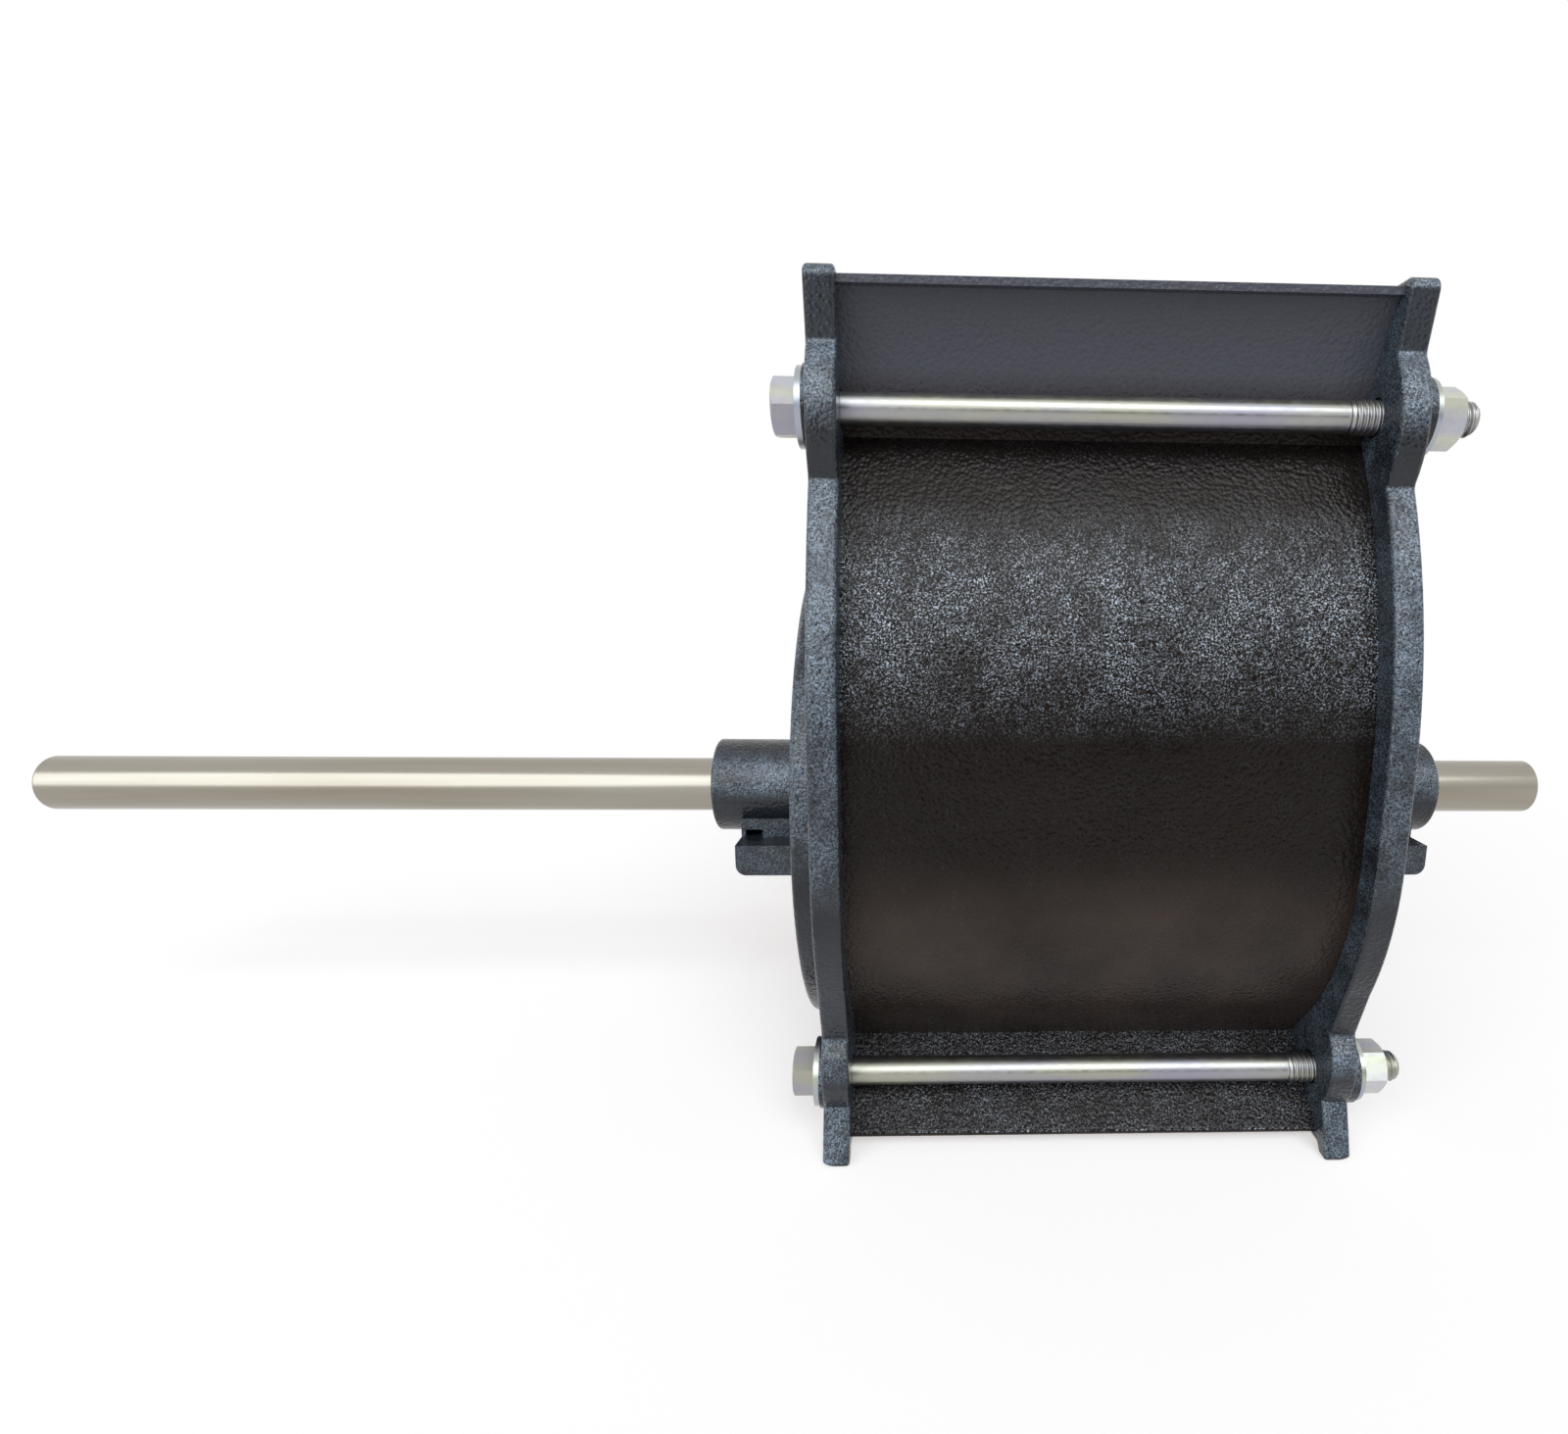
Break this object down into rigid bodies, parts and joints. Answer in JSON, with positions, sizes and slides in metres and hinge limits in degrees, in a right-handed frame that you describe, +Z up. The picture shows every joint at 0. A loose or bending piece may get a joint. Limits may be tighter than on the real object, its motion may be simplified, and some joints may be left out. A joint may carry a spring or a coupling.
{
  "type": "apple scratter grinding head",
  "caption": "Cast iron grinding head of an apple scratter: open-topped housing clamped by long tie bolts, with a toothed knife drum turning on a long through shaft.",
  "frame": {"origin": "middle of the whole machine's length and depth, at the soles of the feet; the shaft axis is 98 mm above it", "axes": "+X along the shaft from the long drive end towards the nuts of the tie bolts, -Y the front, +Z up out of the feed mouth"},
  "size_m": [0.5334, 0.1912, 0.247],
  "materials": {
    "casting_paint": "semi-gloss black paint over a coarse sand casting",
    "bush_bronze": "turned bronze",
    "shaft_steel": "cold-drawn bar, satin",
    "drum_casting": "sand-cast, as cast",
    "key_steel": "plain steel",
    "stainless": "stainless sheet",
    "zinc_plate": "zinc plated",
    "zinc_washer": "zinc plated, punched"
  },
  "bodies": {
    "housing": {"END_PLATE_LEFT": "casting_paint", "END_PLATE_RIGHT": "casting_paint", "SHELL_FRONT": "casting_paint", "SHELL_REAR": "casting_paint", "BUSH_LEFT": "bush_bronze", "BUSH_RIGHT": "bush_bronze", "TIE_BOLT_TOP_FRONT": "zinc_plate", "TIE_BOLT_TOP_REAR": "zinc_plate", "TIE_BOLT_LOW_FRONT": "zinc_plate", "TIE_BOLT_LOW_REAR": "zinc_plate", "HEAD_WASHER_TOP_FRONT": "zinc_washer", "HEAD_WASHER_TOP_REAR": "zinc_washer", "HEAD_WASHER_LOW_FRONT": "zinc_washer", "HEAD_WASHER_LOW_REAR": "zinc_washer", "NUT_WASHER_TOP_FRONT": "zinc_washer", "NUT_WASHER_TOP_REAR": "zinc_washer", "NUT_WASHER_LOW_FRONT": "zinc_washer", "NUT_WASHER_LOW_REAR": "zinc_washer", "TIE_NUT_TOP_FRONT": "zinc_plate", "TIE_NUT_TOP_REAR": "zinc_plate", "TIE_NUT_LOW_FRONT": "zinc_plate", "TIE_NUT_LOW_REAR": "zinc_plate"},
    "rotor": {"SHAFT": "shaft_steel", "DRUM": "drum_casting", "DRUM_CHEEK_LEFT": "stainless", "DRUM_CHEEK_RIGHT": "stainless", "CHEEK_SCREWS": "stainless", "DRUM_KEY": "key_steel", "DRUM_SET_SCREWS": "key_steel", "KNIFE_SCREWS": "stainless", "KNIFE_1": "stainless", "KNIFE_2": "stainless", "KNIFE_3": "stainless", "KNIFE_4": "stainless", "THRUST_WASHER_LEFT": "bush_bronze", "THRUST_WASHER_RIGHT": "bush_bronze"}
  },
  "joints": [
    {"name": "rotor_spin", "type": "hinge", "parent": "housing", "child": "rotor", "pos_m": [0.0918, 0, 0.098], "axis": [1, 0, 0], "continuous": true}
  ]
}
